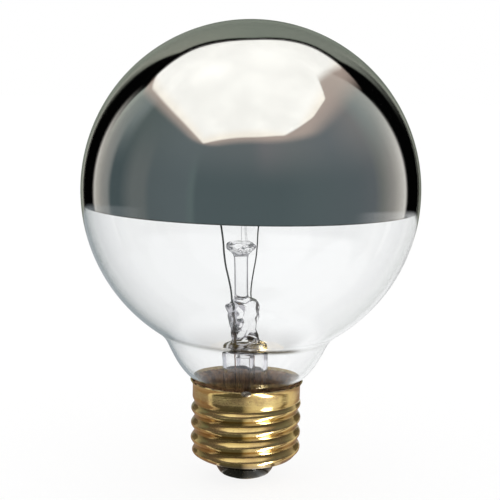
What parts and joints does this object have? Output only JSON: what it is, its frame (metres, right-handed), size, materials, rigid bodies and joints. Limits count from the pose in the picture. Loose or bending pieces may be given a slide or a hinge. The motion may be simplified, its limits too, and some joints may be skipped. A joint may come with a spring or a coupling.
{
  "type": "silver crown bulb",
  "caption": "Clear globe lamp with its crown mirrored inside, a glass stem with lead wires and filament, and a brass medium screw base.",
  "frame": {"origin": "centre of the flat tip of the solder on the centre contact", "axes": "+Z along the lamp's axis from the contact to the crown; -Y is the front, where the side lead is soldered"},
  "size_m": [0.079, 0.079, 0.1089],
  "materials": {
    "clear_glass": "clear, polished",
    "mirror": "bright mirror film behind glass",
    "stem_glass": "clear, fire polished",
    "nickel": "drawn wire, satin",
    "seal_wire": "copper clad, oxidised red",
    "copper": "drawn wire, satin",
    "molybdenum": "drawn wire, satin",
    "tungsten": "fine coil, dull",
    "brass": "rolled, bright",
    "cement": "matte",
    "black_glass": "opaque, glossy",
    "solder": "satin"
  },
  "bodies": {
    "root": {"glass_bulb": "clear_glass", "mirror_crown": "mirror", "stem_tube": "stem_glass", "exhaust_tube": "stem_glass", "stem_rod": "stem_glass", "inner_lead_left": "nickel", "inner_lead_right": "nickel", "seal_wire_left": "seal_wire", "seal_wire_right": "seal_wire", "outer_lead_centre": "copper", "outer_lead_side": "copper", "support_wire_1": "molybdenum", "support_wire_2": "molybdenum", "support_wire_3": "molybdenum", "filament": "tungsten", "screw_shell": "brass", "base_cement": "cement", "base_insulator": "black_glass", "centre_contact": "brass", "contact_solder": "solder", "side_solder": "solder"}
  },
  "joints": []
}
